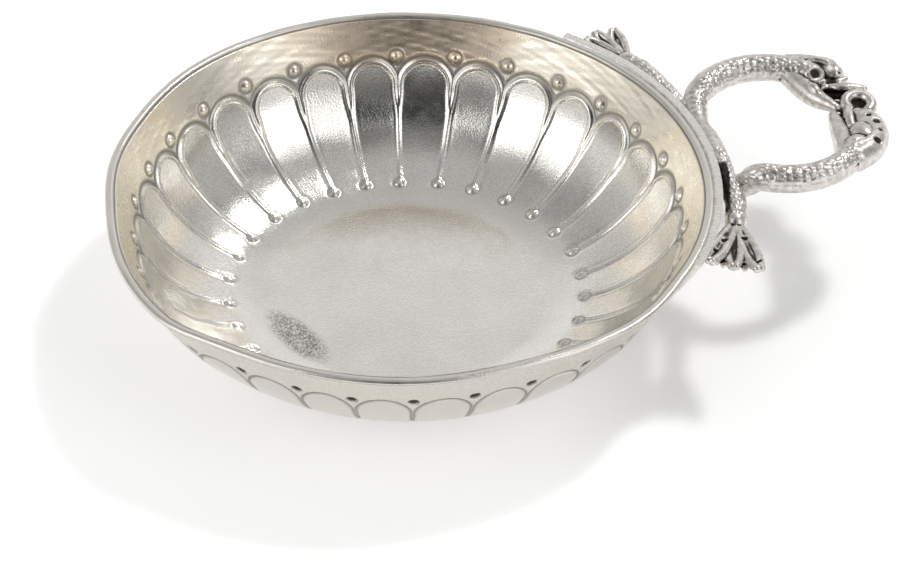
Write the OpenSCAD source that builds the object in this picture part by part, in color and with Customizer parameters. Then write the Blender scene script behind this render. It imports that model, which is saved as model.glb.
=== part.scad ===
// Tastevin: a shallow fluted silver bowl with a ring handle of two entwined serpents.
// Origin at the centre of the flat the bowl stands on, +Z up, the handle along +X.

/* [Bowl] */
// Diameter over the rim
rim_d = 80; // [74:1:90]
// Height from the table to the top of the rim
bowl_h = 18.5; // [17.5:0.5:21]
// Thickness of the sheet
sheet_t = 0.9; // [0.8:0.1:1.2]
// Width of the rim's edge, where the sheet is thickest
lip_w = 1.3; // [1.1:0.1:1.8]
// Height of the plain flared band below the rim
band_h = 5.1; // [5.1:0.1:6.1]
// Slope of the plain band from the table, in degrees
band_slope = 62; // [58:1:66]

/* [Flutes and beads] */
// Number of flutes round the wall
flute_count = 30; // [28:1:33]
// Angle from the handle to the first line between two flutes, in degrees
flute_turn = 2.6; // [0:0.1:12]
// Radius of the wall's curve, from the flat floor up to the plain band
wall_bow_r = 18.8; // [17.8:0.1:19.8]
// Width of the raised lines round the flutes
line_w = 0.8; // [0.6:0.05:1]
// Height of the raised lines above the wall
line_h = 0.3; // [0.2:0.05:0.35]
// Diameter of the beads
bead_d = 1.5; // [1.1:0.1:1.6]
// Height of the beads above the wall
bead_h = 0.75; // [0.6:0.05:0.9]
// Distance of the upper beads below the rim
upper_bead_drop = 4.9; // [4.6:0.1:5.2]
// Diameter of the ring of lower beads, to their middles
lower_ring_d = 46.8; // [45:0.2:49]
// Diameter of the punched dots on the outside
dot_d = 1.4; // [1.1:0.1:1.5]
// Depth of the punched dots
dot_depth = 0.5; // [0.3:0.05:0.6]
// Distance of the punched dots below the rim
dot_drop = 6.1; // [6:0.1:6.6]

/* [Rim strap] */
// Thickness of the strap on the outside of the rim
strap_t = 0.9; // [0.6:0.1:1.3]
// Height of the strap
strap_h = 5.1; // [4.8:0.1:5.4]
// Angle round the rim from the handle's middle to each end of the strap, in degrees
strap_reach = 41; // [40:1:46]
// Thickness of a solder film
solder_t = 0.15; // [0.1:0.05:0.25]

/* [Ring and bodies] */
// Distance of the ring's centre outside the rim
ring_out = 11.2; // [10.6:0.2:13]
// Half length of the ring along the handle, to the middle of the bodies
ring_rx = 10.9; // [10.5:0.1:11.5]
// Half width of the ring across the handle, to the middle of the bodies
ring_ry = 12.4; // [11.8:0.1:13.5]
// Diameter of a serpent's body in the ring
body_d = 3.6; // [3:0.1:3.8]
// Diameter of a body where the two serpents cross
crossing_d = 2.4; // [2:0.1:2.5]
// Diameter of a body on the way to its tail
tail_d = 2.4; // [2:0.1:2.7]
// Distance of the ring's middle height below the rim
ring_drop = 0.9; // [0.7:0.1:1.4]
// Distance of the upper body's middle height below the rim at the crossing
crossing_drop = 1.5; // [1.3:0.1:1.7]
// Clearance between the two bodies at the crossing
crossing_gap = 0.3; // [0.2:0.05:0.4]
// Distance of the tails' middle height below the rim
tail_drop = 2.1; // [1.8:0.1:2.5]
// Distance of the tails' middle outside the rim
tail_out = 2.9; // [2.7:0.1:3.6]

/* [Tail fins] */
// Length of a fin
fin_l = 7.8; // [6.6:0.2:8.6]
// Distance between the middles of a fin's outer lobes
fin_spread = 7.6; // [6.6:0.1:8.6]
// Diameter of a fin's lobes
lobe_d = 2.4; // [2:0.1:2.7]
// Thickness of the web between the lobes
web_t = 1.2; // [0.8:0.1:1.6]

/* [Heads] */
// Angle round the ring from the handle's end to each neck, in degrees
neck_angle = 42; // [40:1:46]
// Distance from the neck to the tip of the rear serpent's nose
rear_nose_reach = 4.6; // [4:0.1:5]
// Distance of the rear serpent's nose outside the line of the ring
rear_nose_out = 2.8; // [2.2:0.1:3.2]
// Distance from the neck to the tip of the front serpent's nose
front_nose_reach = 7.2; // [6.4:0.1:7.6]
// Distance of the front serpent's nose outside the line of the ring
front_nose_out = 1.8; // [1.4:0.1:2.4]
// Diameter of the noses
nose_d = 3.5; // [3:0.1:3.8]
// Distance from the neck to the tip of the rear serpent's lower jaw
rear_jaw_reach = 6.9; // [5:0.1:7.1]
// Distance from the neck to the tip of the front serpent's lower jaw
front_jaw_reach = 6.2; // [4:0.1:6.4]
// Distance of the lower jaws inside the line of the ring
jaw_in = 4.6; // [4:0.1:5]
// Diameter of the lower jaws at the hinge
jaw_d = 2.7; // [2.2:0.1:2.9]
// Diameter of the eyes
eye_d = 1.5; // [1.1:0.1:1.8]
// Diameter of the tongues
tongue_d = 1.3; // [1.1:0.1:1.5]
// Distance from the neck to the tip of the rear serpent's tongue
rear_tongue_reach = 6.8; // [6.4:0.1:7.2]
// Diameter of the front serpent's tongue loop, to the middle of the tongue
loop_d = 3.8; // [3.4:0.1:4.2]
// Distance of the loop's middle past the end of the ring
loop_out = 0.9; // [0.4:0.1:1.4]
// Diameter of the solder bead between the tongues
tongue_solder_d = 1.7; // [1.4:0.1:2]

/* [Hidden] */

// Faces round the turned shapes, the cast bars and the small cast shapes
round_fn = 240;
bar_fn = 14;
cast_fn = 14;
// Steps between two places of a body's run
run_steps = 4;
// How far a cutting shape runs past what it cuts
over = 1;
// Room for the flat facets of a cast face that lies on a round one
facet_room = 0.01;
// Radius of a bead's rounded top, and how deep its foot stands in the sheet
bead_round = 0.5;
bead_foot = 0.4;
// How deep a cast face is filed flat where it is soldered on
file_depth = 0.25;
// Colours of the sheet, of the castings with their dark hollows and of the solder
sheet_colour = [0.80, 0.79, 0.76];
cast_colour = [0.66, 0.64, 0.61];
solder_colour = [0.74, 0.73, 0.72];

// Bowl section: the plain band's lower edge, and the wall's curve from there to the floor
rim_r = rim_d / 2;
arch = [rim_r - lip_w - band_h / tan(band_slope), bowl_h - band_h];
bow_z = sheet_t + wall_bow_r;
bow_centre = [arch[0] - sqrt(pow(wall_bow_r, 2) - pow(bow_z - arch[1], 2)), bow_z];
arch_turn = atan2(arch[1] - bow_centre[1], arch[0] - bow_centre[0]);
outer_arch = bow_centre + (wall_bow_r + sheet_t) * [cos(arch_turn), sin(arch_turn)];
outer_lean = (rim_r - outer_arch[0]) / (bowl_h - outer_arch[1]);

// Flutes: raised lines between them, and a round line over the top of each
flute_pitch = 360 / flute_count;
line_reach = wall_bow_r + line_w / 2 - line_h;
spring_turn = arch_turn - arch[0] * sin(flute_pitch / 2) / line_reach * 180 / PI;
spring = bow_centre + line_reach * [cos(spring_turn), sin(spring_turn)];
arch_half = spring[0] * sin(flute_pitch / 2);
arch_mid = [spring[0] * cos(flute_pitch / 2), spring[1]];
arch_top_turn = spring_turn + arch_half / line_reach * 180 / PI;
arch_top = bow_centre + line_reach * [cos(arch_top_turn), sin(arch_top_turn)];
arch_lean = atan2(arch_top[1] - arch_mid[1], arch_top[0] - arch_mid[0]);
// Gap left between the ends of neighbouring lines, and between a line and a bead
line_gap = 0.1;
// Places of the beads on the wall, as turns round the middle of its curve
upper_bead = [rim_r - lip_w - upper_bead_drop / tan(band_slope), bowl_h - upper_bead_drop];
upper_bead_turn = atan2(upper_bead[1] - bow_centre[1], upper_bead[0] - bow_centre[0]);
lower_bead_turn = -acos((lower_ring_d / 2 - bow_centre[0]) / wall_bow_r);

// Ring, crossing and tails
ring_x = rim_r + ring_out;
ring_z = bowl_h - ring_drop;
over_z = bowl_h - crossing_drop;
under_z = over_z - crossing_d - crossing_gap;
tail_r = rim_r + tail_out;
tail_z = bowl_h - tail_drop;
// Angles round the ring, from the handle's end: between two places of a body, the last even
// place after the neck, and where the body leaves its even curve
ring_step = 14;
even_reach = 5 * ring_step;
drop_angles = [125, 138];
// Angles round the rim, from the handle's middle towards a serpent's own tail
tail_step = 4;
fin_room = 2.6;
crossing_angles = [-5, 0, 5];
leaving_angles = [10.5, 15];
fin_tip_angle = strap_reach - fin_room;
fin_angle = fin_tip_angle - fin_l / tail_r * 180 / PI;
tail_angles = [fin_angle - 2 * tail_step, fin_angle - tail_step];
crossing_solder_reach = 6;
tail_solder_reach = 1.6;

// Heads, in a frame at the neck: ahead along the body, out from the ring's middle
neck = [ring_x + ring_rx * cos(neck_angle), ring_ry * sin(neck_angle)];
neck_ahead = unit([ring_rx * sin(neck_angle), -ring_ry * cos(neck_angle)]);
neck_out = [-neck_ahead[1], neck_ahead[0]];
loop_middle = [ring_x + ring_rx + loop_out, loop_d / 4];

function xyz(p) = [p[0], p[1], p[2]];
function unit(v) = v / norm(v);

// A place [x, y, z, diameter] at radius r and angle a round the bowl
function polar(r, a, z, d) = [r * cos(a), r * sin(a), z, d];

// Radius of the bowl's outer face in the plain band, at height z
function wall_r(z) = rim_r - (bowl_h - z) * outer_lean;

// Radius of the strap's outer face at height z
function strap_r(z) = wall_r(z) + solder_t + strap_t;

// Radius at which a body of diameter d, filed flat, lies on the strap's solder at height z
function seated_r(z, d) = strap_r(z) + solder_t + d / 2 / cos(atan(outer_lean)) - file_depth;

// A point between b and c on a smooth curve through a, b, c and d
function curve_point(a, b, c, d, t) =
    0.5 * (2 * b + (c - a) * t + (2 * a - 5 * b + 4 * c - d) * t * t
        + (3 * b - a - 3 * c + d) * t * t * t);

// A smooth run through a list of places
function smooth_run(places) =
    let (last = len(places) - 1)
    concat(
        [for (i = [0 : last - 1], s = [0 : run_steps - 1])
            curve_point(places[max(i - 1, 0)], places[i], places[i + 1], places[min(i + 2, last)],
                s / run_steps)],
        [places[last]]);

// The corners round place i of a run
function corners(run, i) =
    let (
        ahead = unit(xyz(run[min(i + 1, len(run) - 1)]) - xyz(run[max(i - 1, 0)])),
        side = unit(cross([0, 0, 1], ahead)),
        up = cross(ahead, side))
    [for (k = [0 : bar_fn - 1])
        xyz(run[i]) + run[i][3] / 2 * (cos(k * 360 / bar_fn) * side + sin(k * 360 / bar_fn) * up)];

// A place on the ring, at an angle from the handle's end
function ring_place(side, a, z, d) = [ring_x + ring_rx * cos(a), side * ring_ry * sin(a), z, d];

// A place on a head
function head_place(side, ahead, out, up, d) =
    let (p = neck + ahead * neck_ahead + out * neck_out)
    [p[0], side * p[1], ring_z + up, d];

// A place on the run from the crossing to the tail, by its shares of the way out and down
function leaving_place(side, a, out_share, z_share, cross_z) =
    let (
        z = cross_z + (tail_z - cross_z) * z_share,
        r = seated_r(z, tail_d) + (tail_r - seated_r(z, tail_d)) * out_share)
    polar(r, -side * a, z, tail_d);

// A serpent's body from neck to fin. Its ring half is at +Y where side is 1, its tail is opposite.
function body_places(side, cross_z, dive, rises) =
    concat(
        [for (a = [neck_angle : ring_step : neck_angle + even_reach])
            ring_place(side, a, ring_z, body_d)],
        [ring_place(side, drop_angles[0], ring_z - 0.3 * dive, body_d)],
        [ring_place(side, drop_angles[1], ring_z - 1.05 * dive, (body_d + 2 * crossing_d) / 3)],
        [for (a = crossing_angles)
            polar(seated_r(cross_z, crossing_d), -side * a, cross_z, crossing_d)],
        [leaving_place(side, leaving_angles[0], 0.3, rises[0], cross_z)],
        [leaving_place(side, leaving_angles[1], 0.75, rises[1], cross_z)],
        [for (a = tail_angles) polar(tail_r, -side * a, tail_z, tail_d)],
        [polar(tail_r, -side * fin_angle, tail_z, tail_d)]);

// A round bar along a run
module bar(run) {
    rounds = len(run);
    points = [for (i = [0 : rounds - 1]) each corners(run, i)];
    walls = [for (i = [0 : rounds - 2], k = [0 : bar_fn - 1])
        let (a = i * bar_fn + k, b = i * bar_fn + (k + 1) % bar_fn)
        each [[a, a + bar_fn, b], [b, a + bar_fn, b + bar_fn]]];
    first = [for (k = [1 : bar_fn - 2]) [0, k, k + 1]];
    start = (rounds - 1) * bar_fn;
    final = [for (k = [1 : bar_fn - 2]) [start, start + k + 1, start + k]];
    polyhedron(points, concat(walls, first, final));
}

// Balls joined one to the next
module ball_chain(balls) {
    for (i = [0 : len(balls) - 2])
        hull()
            for (b = [balls[i], balls[i + 1]])
                translate(xyz(b))
                    sphere(d = b[3], $fn = cast_fn);
}

// Part of a layer on the outside of the bowl, from one angle round the rim to another
module rim_layer(from_r, thickness, from_z, to_z, from_a, to_a) {
    lean = (to_z - from_z) * outer_lean;
    rotate([0, 0, from_a])
        rotate_extrude(angle = to_a - from_a, $fn = round_fn)
            polygon([[from_r, from_z], [from_r + thickness, from_z],
                [from_r + thickness + lean, to_z], [from_r + lean, to_z]]);
}

// A raised line between each two flutes, from a bead up to where two arches meet
module side_lines() {
    lower_turn = lower_bead_turn + (bead_d / 2 + line_gap) / line_reach * 180 / PI;
    upper_turn = spring_turn - line_gap / line_reach * 180 / PI;
    for (i = [0 : flute_count - 1])
        rotate([0, 0, flute_turn + i * flute_pitch])
            translate([bow_centre[0], 0, bow_centre[1]])
                rotate([90, 0, 0])
                    rotate([0, 0, lower_turn])
                        rotate_extrude(angle = upper_turn - lower_turn, $fn = round_fn)
                            translate([line_reach, 0])
                                circle(d = line_w, $fn = 32);
}

// A round line over the top of each flute
module arch_lines() {
    for (i = [0 : flute_count - 1])
        rotate([0, 0, flute_turn + (i + 0.5) * flute_pitch])
            translate([arch_mid[0], 0, arch_mid[1]])
                rotate([0, 180 - arch_lean, 0])
                    rotate([0, 0, 90])
                        rotate_extrude(angle = 180, $fn = round_fn)
                            translate([arch_half - (line_w + line_gap) / 2, 0])
                                circle(d = line_w, $fn = 32);
}

// A bead with a rounded top, standing up from the wall
module bead() {
    shoulder = [bead_d / 2 - bead_round, bead_h - bead_round];
    rotate_extrude($fn = 32)
        polygon(concat([[0, -bead_foot], [bead_d / 2, -bead_foot]],
            [for (a = [0 : 45 : 90]) shoulder + bead_round * [cos(a), sin(a)]],
            [[0, bead_h]]));
}

// A bead on each line between two flutes, square to the wall's curve
module bead_ring(turn, reach) {
    for (i = [0 : flute_count - 1])
        rotate([0, 0, flute_turn + i * flute_pitch])
            translate([bow_centre[0], 0, bow_centre[1]])
                rotate([0, 90 - turn, 0])
                    translate([0, 0, reach])
                        rotate([180, 0, 0])
                            bead();
}

// The part of a circle round the wall's middle that lies below the arches' top
module bow_section(bow_r, top_z) {
    intersection() {
        translate(bow_centre)
            circle(r = bow_r, $fn = round_fn);
        translate([bow_centre[0], -over])
            square([rim_r - bow_centre[0], top_z + over]);
    }
}

// The bowl's outer shape, with everything inside it
module bowl_outside() {
    rotate_extrude($fn = round_fn) {
        polygon([[0, 0], [bow_centre[0], 0], outer_arch, [rim_r, bowl_h], [0, bowl_h]]);
        bow_section(wall_bow_r + sheet_t, outer_arch[1]);
    }
}

// The bowl's hollow
module bowl_inside() {
    top_r = rim_r - lip_w;
    rotate_extrude($fn = round_fn) {
        polygon([[0, sheet_t], [bow_centre[0], sheet_t], arch, [top_r, bowl_h],
            [top_r, bowl_h + over], [0, bowl_h + over]]);
        bow_section(wall_bow_r, arch[1]);
    }
}

// A punched dot on the outside below each upper bead, square to the wall's curve
module punched_dots() {
    dot_turn = asin((bowl_h - dot_drop - bow_z) / (wall_bow_r + sheet_t));
    for (i = [0 : flute_count - 1])
        rotate([0, 0, flute_turn + i * flute_pitch])
            translate([bow_centre[0], 0, bow_centre[1]])
                rotate([0, 90 - dot_turn, 0])
                    translate([0, 0, wall_bow_r + sheet_t - dot_depth])
                        cylinder(d = dot_d, h = dot_depth + over, $fn = 32);
}

module bowl() {
    color(sheet_colour)
        difference() {
            bowl_outside();
            difference() {
                bowl_inside();
                side_lines();
                arch_lines();
                bead_ring(upper_bead_turn, norm(upper_bead - bow_centre));
                bead_ring(lower_bead_turn, wall_bow_r);
            }
            punched_dots();
        }
}

module rim_strap() {
    foot_z = bowl_h - strap_h;
    color(sheet_colour)
        rim_layer(wall_r(foot_z) + solder_t, strap_t, foot_z, bowl_h, -strap_reach, strap_reach);
}

module strap_solder() {
    foot_z = bowl_h - strap_h;
    color(solder_colour)
        rim_layer(wall_r(foot_z), solder_t, foot_z, bowl_h, -strap_reach, strap_reach);
}

// Solder that joins the crossed bodies to the strap
module crossing_solder() {
    foot_z = under_z - crossing_d / 4;
    color(solder_colour)
        rim_layer(strap_r(foot_z), solder_t, foot_z, over_z + crossing_d / 4,
            -crossing_solder_reach, crossing_solder_reach);
}

// Solder under a fin's inner lobe, at +Y where side is 1
module tail_solder(side) {
    foot_z = tail_z - lobe_d / 4;
    middle = side * (fin_tip_angle - tail_solder_reach / 2);
    color(solder_colour)
        rim_layer(strap_r(foot_z), solder_t, foot_z, tail_z + lobe_d / 4,
            middle - tail_solder_reach, middle + tail_solder_reach);
}

// What a casting is filed away for: the bowl with its strap and its solder
module filing_shape() {
    foot_z = under_z - crossing_d;
    top_z = bowl_h + crossing_d;
    gap = solder_t + facet_room;
    rotate_extrude($fn = round_fn)
        polygon([[0, foot_z], [strap_r(foot_z) + gap, foot_z], [strap_r(top_z) + gap, top_z], [0, top_z]]);
}

// A tail fin of three lobes, of which the inner one lies on the strap
module fin(side) {
    root = polar(tail_r, -side * fin_angle, tail_z, tail_d);
    along = [-sin(fin_angle), -side * cos(fin_angle)];
    out = [cos(fin_angle), -side * sin(fin_angle)];
    inner_tip = polar(seated_r(tail_z, lobe_d), -side * fin_tip_angle, tail_z, lobe_d);
    inner_off = (xyz(inner_tip) - xyz(root)) * [out[0], out[1], 0];
    middle_off = inner_off + 0.52 * fin_spread;
    outer_off = inner_off + fin_spread;
    function lobe_place(share, off, up, d) =
        let (p = [root[0], root[1]] + share * fin_l * along + off * out)
        [p[0], p[1], tail_z + up, d];
    middle_tip = lobe_place(1, middle_off, 0, 0.9 * lobe_d);
    outer_tip = lobe_place(0.8, outer_off, 0.3, 0.95 * lobe_d);
    ball_chain([root, lobe_place(0.5, inner_off * 0.6, 0, lobe_d), inner_tip]);
    ball_chain([root, lobe_place(0.5, middle_off * 0.6, 0.1, lobe_d), middle_tip]);
    ball_chain([root, lobe_place(0.4, outer_off * 0.6, 0.1, lobe_d), outer_tip,
        lobe_place(0.86, outer_off, 0.9, 0.6 * lobe_d)]);
    for (tips = [[inner_tip, middle_tip], [middle_tip, outer_tip]])
        hull()
            for (p = concat([root], tips))
                translate(xyz(p))
                    sphere(d = web_t, $fn = cast_fn);
}

// Open mouthed head with a round nose, a lower jaw and two eyes
module head(side, nose_reach, nose_out, jaw_reach) {
    skull_d = 1.3 * body_d;
    nose_tip = nose_reach - nose_d / 3;
    jaw_tip = jaw_reach - jaw_d / 3;
    ball_chain([
        head_place(side, 0, 0, 0, skull_d),
        head_place(side, 0.2 * nose_tip, 0.85 * nose_out, 0.1, nose_d),
        head_place(side, 0.75 * nose_tip, nose_out, 0.2, nose_d),
        head_place(side, nose_tip, 0.55 * nose_out, 0.1, 0.7 * nose_d)]);
    ball_chain([
        head_place(side, 0, 0, 0, 0.9 * skull_d),
        head_place(side, 0.15 * jaw_tip, -0.75 * jaw_in, -0.1, jaw_d),
        head_place(side, 0.55 * jaw_tip, -0.95 * jaw_in, -0.1, 0.85 * jaw_d),
        head_place(side, jaw_tip, -jaw_in, 0, 0.6 * jaw_d)]);
    for (up = [-1, 1])
        translate(xyz(head_place(side, 0.5, 0.5 * nose_out, up * 0.42 * skull_d, 0)))
            sphere(d = eye_d, $fn = cast_fn);
}

// The rear serpent's tongue runs straight out to the loop
module rear_tongue() {
    ball_chain([
        head_place(1, 0.6, -0.3, 0, tongue_d),
        head_place(1, 0.6 * rear_tongue_reach, 0.3, 0.1, tongue_d),
        head_place(1, rear_tongue_reach - tongue_d / 2, 1.4, 0, 0.8 * tongue_d)]);
}

// The front serpent's tongue curls round in a loop
module front_tongue() {
    curl = [for (a = [200 : -40 : -40])
        [loop_middle[0] + loop_d / 2 * cos(a), loop_middle[1] + loop_d / 2 * sin(a), ring_z, tongue_d]];
    ball_chain(concat([head_place(-1, 0.5 * front_jaw_reach, -0.2, 0, 1.2 * tongue_d)], curl));
}

module rear_serpent() {
    color(cast_colour)
        difference() {
            union() {
                bar(smooth_run(body_places(1, over_z, 0, [0.5, 0.9])));
                head(1, rear_nose_reach, rear_nose_out, rear_jaw_reach);
                rear_tongue();
                fin(1);
            }
            filing_shape();
        }
}

module front_serpent() {
    color(cast_colour)
        difference() {
            union() {
                bar(smooth_run(body_places(-1, under_z, ring_z - under_z, [0.15, 0.6])));
                head(-1, front_nose_reach, front_nose_out, front_jaw_reach);
                front_tongue();
                fin(-1);
            }
            filing_shape();
        }
}

// Solder bead that joins the tongues and closes the ring
module tongue_solder() {
    tip = xyz(head_place(1, rear_tongue_reach - tongue_d / 2, 1.4, 0, 0));
    loop_top = [loop_middle[0], loop_middle[1], ring_z];
    near_loop = loop_top + (loop_d + tongue_d) / 2 * unit(tip - loop_top);
    color(solder_colour)
        difference() {
            translate((tip + near_loop) / 2)
                sphere(d = tongue_solder_d, $fn = cast_fn);
            rear_tongue();
            front_tongue();
        }
}

bowl();
rim_strap();
rear_serpent();
front_serpent();
strap_solder();
crossing_solder();
tail_solder(1);  // rear_tail_solder
tail_solder(-1);  // front_tail_solder
tongue_solder();
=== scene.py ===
import math

import bpy
import numpy as np
from mathutils import Matrix, Vector


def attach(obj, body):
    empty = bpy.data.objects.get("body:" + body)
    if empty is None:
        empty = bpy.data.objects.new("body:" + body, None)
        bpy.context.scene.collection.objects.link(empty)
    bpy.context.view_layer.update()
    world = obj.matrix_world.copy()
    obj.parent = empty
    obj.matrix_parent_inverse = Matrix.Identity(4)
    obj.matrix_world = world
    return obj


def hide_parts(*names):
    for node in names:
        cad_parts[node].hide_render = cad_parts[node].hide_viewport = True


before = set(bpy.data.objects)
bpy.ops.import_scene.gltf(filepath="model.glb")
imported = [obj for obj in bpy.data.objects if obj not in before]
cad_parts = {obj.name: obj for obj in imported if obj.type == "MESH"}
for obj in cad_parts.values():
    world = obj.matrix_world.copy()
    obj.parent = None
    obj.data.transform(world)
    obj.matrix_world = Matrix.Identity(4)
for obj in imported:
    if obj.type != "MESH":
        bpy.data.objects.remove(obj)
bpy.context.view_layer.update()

# Sizes are in millimetres and angles in radians, in the part's frame. MM turns them into metres.
MM = 0.001

# Bowl sizes, as in the part's source
RIM_R = 40.0
BOWL_H = 18.5
SHEET_T = 0.9
LIP_W = 1.3
BAND_H = 5.1
BAND_SLOPE = math.radians(62)
FLUTES = 30
FLUTE_TURN = math.radians(2.6)
WALL_BOW_R = 18.8
PITCH = 2 * math.pi / FLUTES

# Lines round the flutes inside: height, width, and distance in from the outline at the arch
LINE_H = 0.24
LINE_W = 0.26
LINE_IN = 0.4
# Shares of height and width on the wall, and the heights over the arch's foot where they change
LOW_LINE_H = 0.7
LOW_LINE_W = 1.1
LINE_CHANGE = (-5, -0.5)
# Angles over the lower beads between which a line, and a flattened panel, starts
LINE_START = (-0.02, 0.05)
PANEL_START = (-0.03, 0.12)
# Groove outside an arch: depth, middle and width, heights where it starts, darkness
TRENCH = 0.14
TRENCH_PLACE = (-0.3, 0.3)
TRENCH_START = (-2, 0)
TRENCH_DARK = 0.85
# Beads: radius, height and power of their curve, above and below, then their places
BEAD_R = 0.78
BEAD_H = 0.46
BEAD_POWER = 0.75
LOWER_BEAD_SIZE = 0.858
LOWER_BEAD_H = 0.28
LOWER_BEAD_POWER = 1.4
UPPER_BEAD_DROP = 4.9
LOWER_RING_R = 23.4
# Sunk rings round the beads: depth, the lower ones' share, middle and width in bead radii
MOAT_DEPTH = 0.08
LOWER_MOAT_SHARE = 0.5
UPPER_MOAT = (1.25, 0.28)
LOWER_MOAT = (1.2, 0.25)
# Darkness round the beads: between two edges above, by middle and width below
MOAT_DARK = 0.8
UPPER_DARK_RING = (0.9, 2)
LOWER_RING_DARK = 0.45
LOWER_DARK_RING = (1.05, 0.14)

# Sunk lines and dots on the outside: sizes, places and darkness
OUTER_LINE_DEPTH = 0.17
OUTER_LINE_W = 0.19
OUTER_LINE_IN = 0.2
OUTER_LINE_CHANGE = (-8, -1)
OUTER_LINE_START = (math.radians(-78), math.radians(-70))
OUTER_LINE_DARK = 0.9
DOT_R = 0.74
DOT_DEPTH = 0.5
DOT_DROP = 6.1
DOT_SHADE = (1.05, 0.8)
DOT_DARK = 1.25

# Hand work: flattening of the flutes' panels, and width of their rounded edges
FLATNESS = 0.7
PANEL_EDGE = 1.2
# Dents: depth, and number of waves with their least and most turns round the bowl
WALL_DENTS = 0.006
WALL_WAVES = (12, 4, 26)
BAND_DENTS = 0.022
BAND_WAVES = (12, 14, 55)
LIP_DENTS = 0.03
LIP_WAVES = (8, 9, 40)
# Dents of the floor: depth, number and lengths of the waves, width of the even edge
FLOOR_DENTS = 0.035
FLOOR_WAVES = 10
FLOOR_WAVE_L = (9, 26)
FLOOR_EVEN = 5
# Greatest shifts of the lines in degrees, and of the arches and beads
LINE_SHIFT = 0.5
ARCH_SHIFT = 0.25
BEAD_SHIFT = 0.15
# Dents of the rim: middle in degrees from the handle, depth and width in degrees
RIM_DENTS = ((141, -0.7, 15), (168, -0.8, 14), (198, 0.8, 14), (207, 0.8, 8), (273, -0.6, 14),
             (303, 0.5, 14))
# Degrees from the handle between which these dents set in, and the height where they start
DENTS_FROM = (43, 58)
DENTS_FOOT = 2

# Bowl mesh: columns, and distance between rows of the wall and of the floor, with its first one
COLUMNS = 40 * FLUTES
ROW = 0.17
FLOOR_ROW = 0.8
FLOOR_FIRST = 0.2
# Rounding where the band meets the wall, and the angle below the arch where it starts
ARCH_ROUND = 0.06
BAND_NEAR = math.radians(6)
# Lip: radius of its edges, turns of their rows, rows between them, inset from the band
LIP_ROUND = 0.5
LIP_TURNS = (0, 22, 45, 68, 90)
LIP_FLAT_ROWS = 5
LIP_INSET = 0.02
# Top rows of the walls: below the rim, and in from the lip's two edges
WALL_TOP_DROP = 0.35
INNER_TOP_IN = 0.15
OUTER_TOP_IN = 0.2
# Painted shade: a dark line along the lip's rounded inner edge, by its rows and darkness
LIP_SHADE_ROWS = 2
LIP_SHADE_DARK = 0.75
# Heights at the arch where the band's tone starts, inside and outside; radii where the floor's ends
BAND_START = (-1.5, 0.5)
OUTER_BAND_START = (-3, 1)
FLOOR_END = (21, 24)

# Speckled stain on the floor and brown tarnish on the band: middle, half sizes and turn
STAIN = ((-16.3, -4.7, 0.9), (6.8, 2.5, 3.0), math.radians(-72))
TARNISH = ((11.2, 36.6, 16.5), (20.0, 9.0, 9.0), math.radians(-17))

# Camera, from the rim circle and the flutes' spacing in the photograph, with two angles in degrees
PHOTO_W = 900
PHOTO_H = 574
RIM_CENTRE_PX = (406.6, 186.6)
FOCAL_PX = 4413
CAMERA_DISTANCE = 573
CAMERA_AZIMUTH = -107
CAMERA_ELEVATION = 37
CAMERA_ROLL = math.radians(0.54)
SENSOR_W = 36
# Nearest and farthest distance seen, in metres
CAMERA_CLIP = (0.01, 20)

# Studio: brightness of the walls and the ceiling, and the heights of a ray where it changes
PALE_WALLS = 0.74
GREY_CEILING = 0.45
WALLS_END = math.sin(math.radians(33))
CEILING_START = math.sin(math.radians(48))
# Darker and paler parts of the room: azimuth, elevation, radii of core and edge, share of light
ROOM_PLACES = ((238, 34, 17, 30, 0.3), (266, 34, 20, 32, 0.3), (252, 58, 14, 30, 0.45),
               (350, 22, 18, 40, 0.6), (138, 38, 12, 32, 0.65), (75, 36, 12, 26, 1.06))
# Table: half its side in metres, drop below the bowl, glow at bowl and handle, X where it changes; the
# extra glow on the bowl's side is painted light
TABLE_HALF = 3.0
TABLE_DROP = 0.01
TABLE_GLOW = (0.42, 0.2)
PAINTED_GLOW_CHANGE = (5, 34)
# Lamps: azimuth, elevation, then distance, width and height in metres, brightness, mirrored or not
LAMPS = {
    "left_box": (188, 39, 0.9, 0.61, 0.62, 1.1, True),
    "right_box": (308, 41, 0.9, 0.55, 0.6, 1.1, True),
    "back_lamp": (30, 53, 1.1, 0.22, 0.22, 13.0, True),
    "shadow_lamp": (30, 53, 1.1, 0.11, 0.11, 92.0, False),
}

hand = np.random.RandomState(11)


# Curves

def bump(value, middle, width):
    """A smooth hill of unit height."""
    return np.exp(-((value - middle) / width) ** 2)


def dome(distance, power):
    """A hill of unit height and unit radius that ends at its foot."""
    return np.maximum(1 - distance ** 2, 0) ** power


def step(value, low, high):
    """A smooth rise from nought at low to one at high."""
    t = np.clip((value - low) / (high - low), 0, 1)
    return t * t * (3 - 2 * t)


def between(value, start, full, fade, end):
    """A smooth rise from start to full, and a fall from fade to end."""
    return step(value, start, full) * (1 - step(value, fade, end))


def mix(low, high, share):
    return low + (high - low) * share


def soft_max(a, b, width):
    """The greater of two values, rounded where they meet."""
    return width * np.logaddexp(a / width, b / width)


# Meshes

def plain_mesh(name, points, faces):
    """A mesh from points and lists of faces, each list with faces of one number of corners."""
    mesh = bpy.data.meshes.new(name)
    mesh.vertices.add(len(points))
    mesh.vertices.foreach_set("co", np.ascontiguousarray(points, np.float32).ravel())
    corners = np.concatenate([np.ravel(f) for f in faces]).astype(np.int32)
    sizes = np.concatenate([np.full(len(f), f.shape[1]) for f in faces])
    starts = np.concatenate([[0], np.cumsum(sizes)[:-1]])
    mesh.loops.add(len(corners))
    mesh.loops.foreach_set("vertex_index", corners)
    mesh.polygons.add(len(sizes))
    mesh.polygons.foreach_set("loop_start", starts.astype(np.int32))
    mesh.update(calc_edges=True)
    mesh.validate()
    mesh.polygons.foreach_set("use_smooth", np.ones(len(mesh.polygons), bool))
    return mesh


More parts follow.
